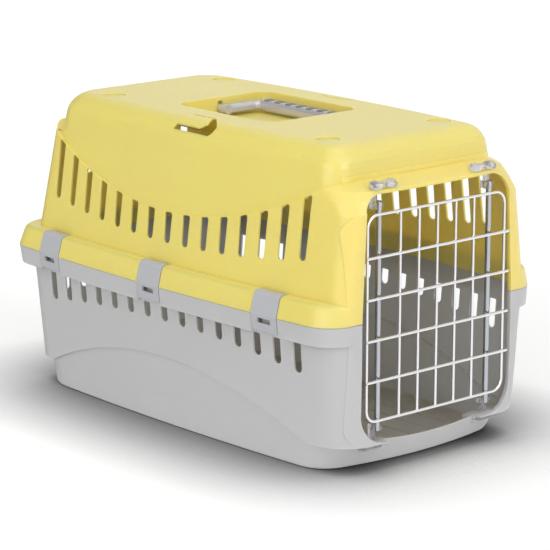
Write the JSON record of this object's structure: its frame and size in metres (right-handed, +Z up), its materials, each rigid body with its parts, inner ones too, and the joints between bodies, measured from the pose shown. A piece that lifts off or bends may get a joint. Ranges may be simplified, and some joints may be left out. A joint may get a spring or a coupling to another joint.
{
  "type": "pet carrier",
  "caption": "Two-shell plastic pet carrier with wire door, slide latches, side clips and folding handle.",
  "frame": {"origin": "on the floor under the middle of the rim", "axes": "+X to the wire door, +Y across to the far side, +Z up"},
  "size_m": [0.4995, 0.3004, 0.3085],
  "materials": {
    "lid_plastic": "fine matt moulded",
    "base_plastic": "satin moulded",
    "clip_plastic": "satin moulded",
    "latch_plastic": "clear, glossy",
    "handle_plastic": "silver, satin",
    "pad_plastic": "matt",
    "thin_wire": "bright plated",
    "door_rod": "bright plated"
  },
  "bodies": {
    "base": {"base_tub": "base_plastic"},
    "lid": {"lid_shell": "lid_plastic"},
    "door": {"door_frame_wire": "thin_wire", "door_cross_wire_1": "thin_wire", "door_cross_wire_2": "thin_wire", "door_cross_wire_3": "thin_wire", "door_cross_wire_4": "thin_wire", "door_upright_wire_1": "thin_wire", "door_upright_wire_2": "thin_wire", "door_upright_wire_3": "thin_wire", "door_upright_wire_4": "thin_wire", "door_upright_wire_5": "thin_wire", "door_rod_near": "door_rod", "door_rod_far": "door_rod"},
    "latch_top_near": {"latch_top_near": "latch_plastic"},
    "latch_top_far": {"latch_top_far": "latch_plastic"},
    "latch_bottom_near": {"latch_bottom_near": "latch_plastic"},
    "latch_bottom_far": {"latch_bottom_far": "latch_plastic"},
    "side_clip_near_rear": {"side_clip_near_rear": "clip_plastic"},
    "side_clip_near_middle": {"side_clip_near_middle": "clip_plastic"},
    "side_clip_near_front": {"side_clip_near_front": "clip_plastic"},
    "side_clip_far_rear": {"side_clip_far_rear": "clip_plastic"},
    "side_clip_far_middle": {"side_clip_far_middle": "clip_plastic"},
    "side_clip_far_front": {"side_clip_far_front": "clip_plastic"},
    "handle": {"handle_bow": "handle_plastic", "handle_pads": "pad_plastic"}
  },
  "joints": [
    {"name": "lid_lift", "type": "slide", "parent": "base", "child": "lid", "axis": [0, 0, 1], "range_m": [0, 0.18]},
    {"name": "door_hinge", "type": "hinge", "parent": "base", "child": "door", "pos_m": [0.2413, -0.0723, 0.1493], "axis": [0, 0, -1], "range_deg": [0, 140]},
    {"name": "handle_swing", "type": "hinge", "parent": "lid", "child": "handle", "pos_m": [0.001, 0, 0.297], "axis": [1, 0, 0], "range_deg": [0, 175]},
    {"name": "latch_top_near_lift", "type": "slide", "parent": "lid", "child": "latch_top_near", "axis": [0, 0, 1], "range_m": [0, 0.0072]},
    {"name": "latch_bottom_near_drop", "type": "slide", "parent": "base", "child": "latch_bottom_near", "axis": [0, 0, -1], "range_m": [0, 0.0072]},
    {"name": "latch_top_far_lift", "type": "slide", "parent": "lid", "child": "latch_top_far", "axis": [0, 0, 1], "range_m": [0, 0.0072]},
    {"name": "latch_bottom_far_drop", "type": "slide", "parent": "base", "child": "latch_bottom_far", "axis": [0, 0, -1], "range_m": [0, 0.0072]},
    {"name": "side_clip_near_rear_swing", "type": "hinge", "parent": "base", "child": "side_clip_near_rear", "pos_m": [-0.17325, -0.14061, 0.1335], "axis": [0.9981, -0.061, 0], "range_deg": [0, 115]},
    {"name": "side_clip_near_middle_swing", "type": "hinge", "parent": "base", "child": "side_clip_near_middle", "pos_m": [-0.00549, -0.14589, 0.1335], "axis": [1, -0.0019, 0], "range_deg": [0, 115]},
    {"name": "side_clip_near_front_swing", "type": "hinge", "parent": "base", "child": "side_clip_near_front", "pos_m": [0.16227, -0.14126, 0.1335], "axis": [0.9984, 0.0571, 0], "range_deg": [0, 115]},
    {"name": "side_clip_far_rear_swing", "type": "hinge", "parent": "base", "child": "side_clip_far_rear", "pos_m": [-0.17325, 0.14061, 0.1335], "axis": [-0.9981, -0.061, 0], "range_deg": [0, 115]},
    {"name": "side_clip_far_middle_swing", "type": "hinge", "parent": "base", "child": "side_clip_far_middle", "pos_m": [-0.00549, 0.14589, 0.1335], "axis": [-1, -0.0019, 0], "range_deg": [0, 115]},
    {"name": "side_clip_far_front_swing", "type": "hinge", "parent": "base", "child": "side_clip_far_front", "pos_m": [0.16227, 0.14126, 0.1335], "axis": [-0.9984, 0.0571, 0], "range_deg": [0, 115]}
  ]
}
